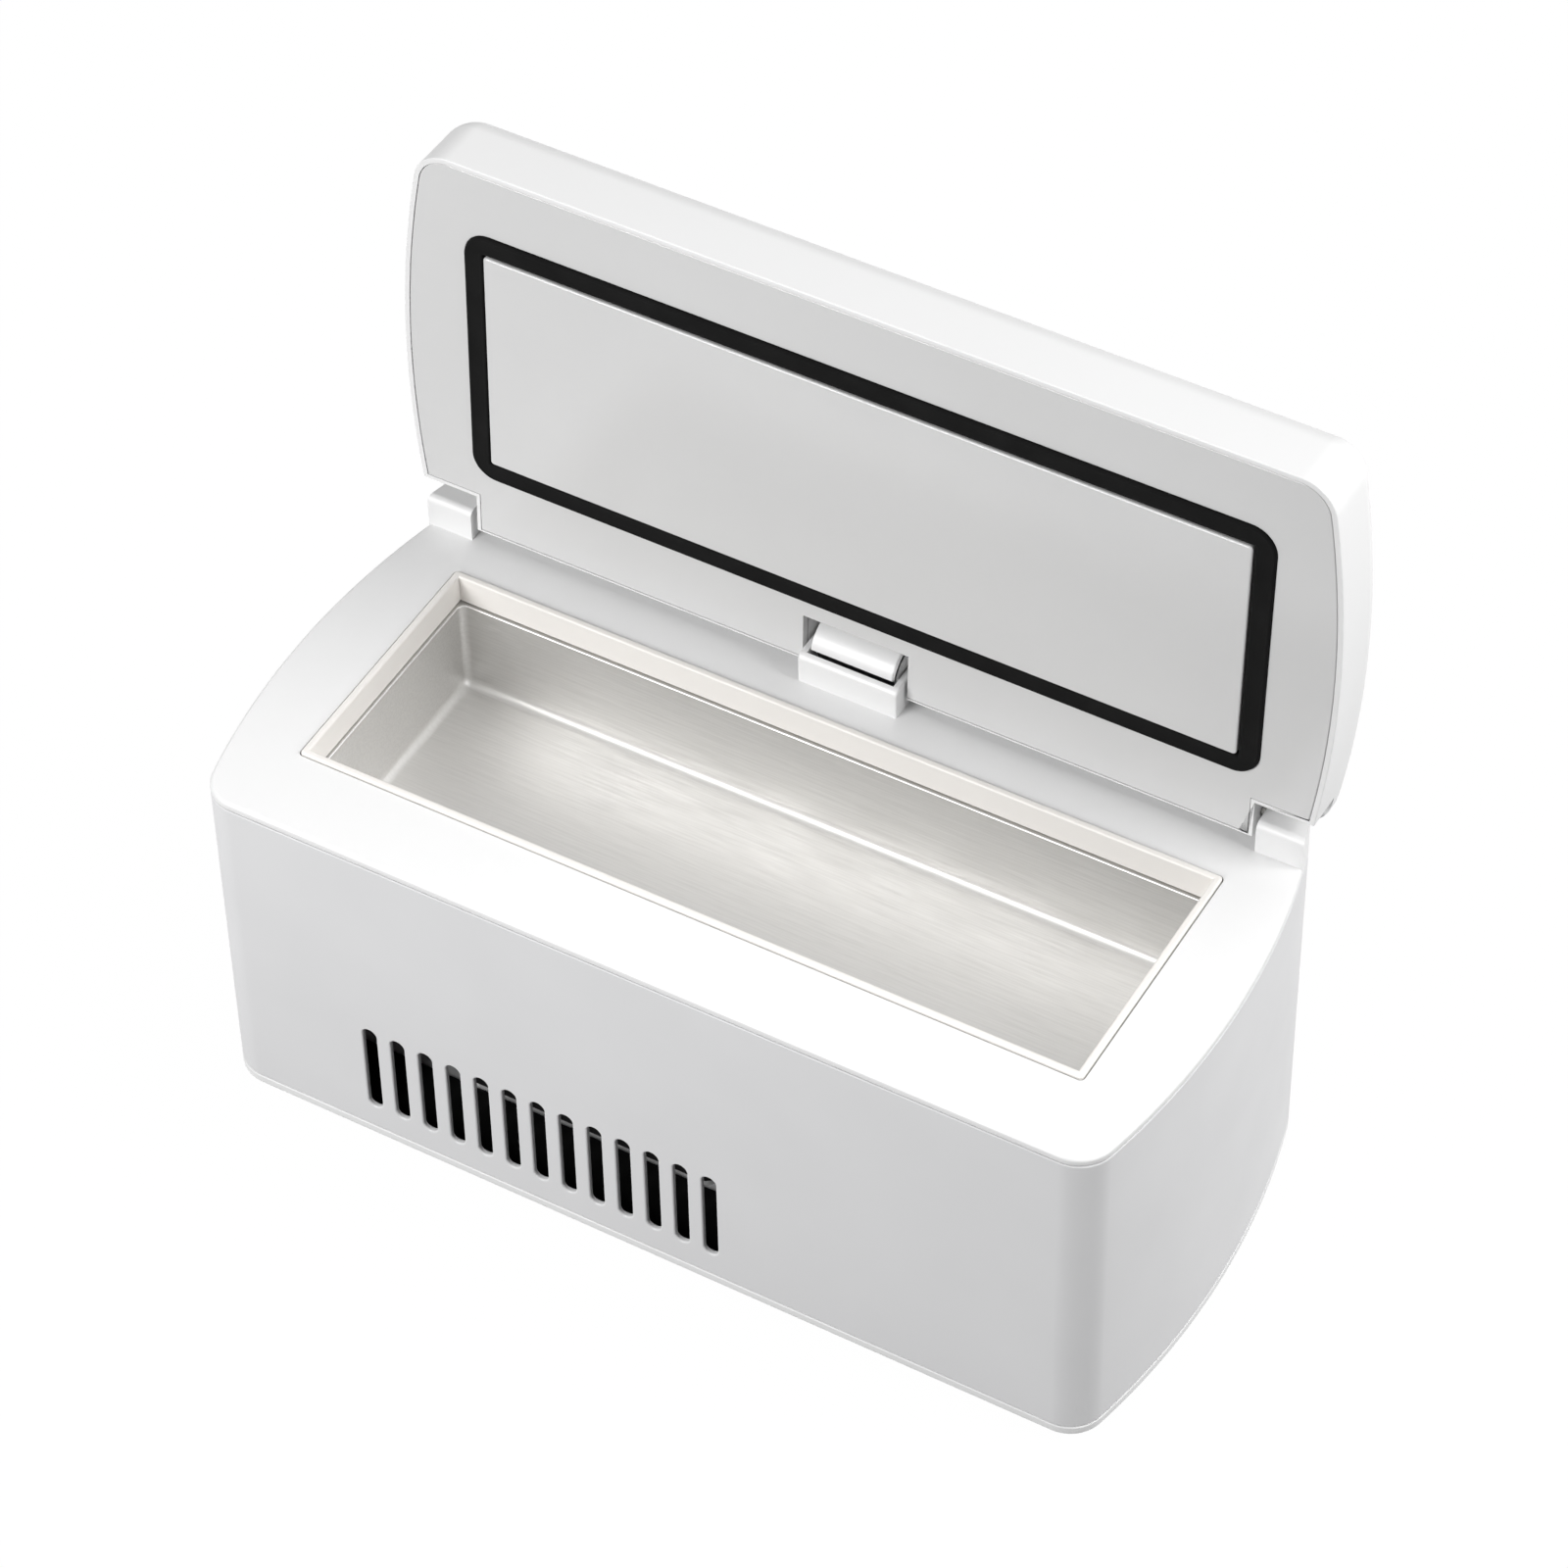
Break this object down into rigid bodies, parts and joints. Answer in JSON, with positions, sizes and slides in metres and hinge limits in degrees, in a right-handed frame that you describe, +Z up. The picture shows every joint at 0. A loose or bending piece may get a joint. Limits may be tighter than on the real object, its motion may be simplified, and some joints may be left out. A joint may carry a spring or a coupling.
{
  "type": "insulin cooling case",
  "caption": "Portable electric cooling case for insulin pens: long insulated compartment under a hinged, gasketed lid, with air slots, display and buttons.",
  "frame": {"origin": "middle of the footprint of the case with its lid open, on the plane the feet stand on", "axes": "+X along the case to its right end, +Y from the front wall to the hinge side, +Z up"},
  "size_m": [0.206, 0.1064, 0.181],
  "materials": {
    "white_abs": "satin white moulded ABS",
    "silver_abs": "pale grey moulded ABS with a fine satin texture",
    "panel_abs": "glossy pale grey moulded ABS",
    "liner_abs": "warm white moulded liner",
    "tank_aluminium": "satin aluminium",
    "black_anodised": "black anodised extruded aluminium",
    "insulating_foam": "closed cell foam",
    "black_abs": "black moulded plastic",
    "ceramic_plate": "white ceramic plates",
    "screw_steel": "bright plated steel",
    "cell_wrap": "shrink wrapped round cell",
    "circuit_board": "green solder mask",
    "black_rubber": "matte black rubber",
    "window_glass": "dark tinted display window"
  },
  "bodies": {
    "case": {"side_wall": "silver_abs", "deck_cover": "white_abs", "base_cover": "white_abs", "rim_collar": "liner_abs", "cold_tank": "tank_aluminium", "foam_jacket": "insulating_foam", "temperature_sensor": "black_abs", "cold_spacer": "tank_aluminium", "thermoelectric_module": "ceramic_plate", "heat_sink": "black_anodised", "clamp_screw_left": "screw_steel", "clamp_screw_right": "screw_steel", "fan_frame": "black_abs", "battery_cradle": "black_abs", "battery_cell_1": "cell_wrap", "battery_cell_2": "cell_wrap", "battery_cell_3": "cell_wrap", "control_board": "circuit_board", "dc_jack": "black_abs", "ribbon_cable": "black_abs", "deck_magnet_left": "screw_steel", "deck_magnet_right": "screw_steel", "hinge_pin_left": "screw_steel", "hinge_pin_right": "screw_steel", "foot_front_left": "black_rubber", "foot_front_right": "black_rubber", "foot_rear_left": "black_rubber", "foot_rear_right": "black_rubber", "base_screw_front_left": "screw_steel", "base_screw_front_right": "screw_steel", "base_screw_rear_left": "screw_steel", "base_screw_rear_right": "screw_steel"},
    "lid": {"lid_shell": "white_abs", "lid_panel": "panel_abs", "lid_gasket": "black_rubber", "lid_plug": "panel_abs", "lid_foam": "insulating_foam", "cable_cover": "white_abs", "cable_wrap": "black_abs", "lid_magnet_left": "screw_steel", "lid_magnet_right": "screw_steel", "display_window": "window_glass", "lcd_panel": "window_glass", "display_board": "circuit_board", "power_switch": "black_abs", "set_switch": "black_abs"},
    "fan": {"fan_rotor": "black_abs"},
    "power_key": {"power_button": "silver_abs"},
    "set_key": {"set_button": "silver_abs"}
  },
  "joints": [
    {"name": "lid_hinge", "type": "hinge", "parent": "case", "child": "lid", "pos_m": [0, 0.03713, 0.0911], "axis": [1, 0, 0], "range_deg": [0, 92.2]},
    {"name": "fan_spin", "type": "hinge", "parent": "case", "child": "fan", "pos_m": [-0.0236, -0.00627, 0.0142], "axis": [0, 0, 1], "continuous": true},
    {"name": "power_press", "type": "slide", "parent": "lid", "child": "power_key", "axis": [0, -0.9993, 0.0384], "range_m": [0, 0.0008], "stiffness_N_per_m": 300, "springref_m": -0.001},
    {"name": "set_press", "type": "slide", "parent": "lid", "child": "set_key", "axis": [0, -0.9993, 0.0384], "range_m": [0, 0.0008], "stiffness_N_per_m": 300, "springref_m": -0.001}
  ]
}
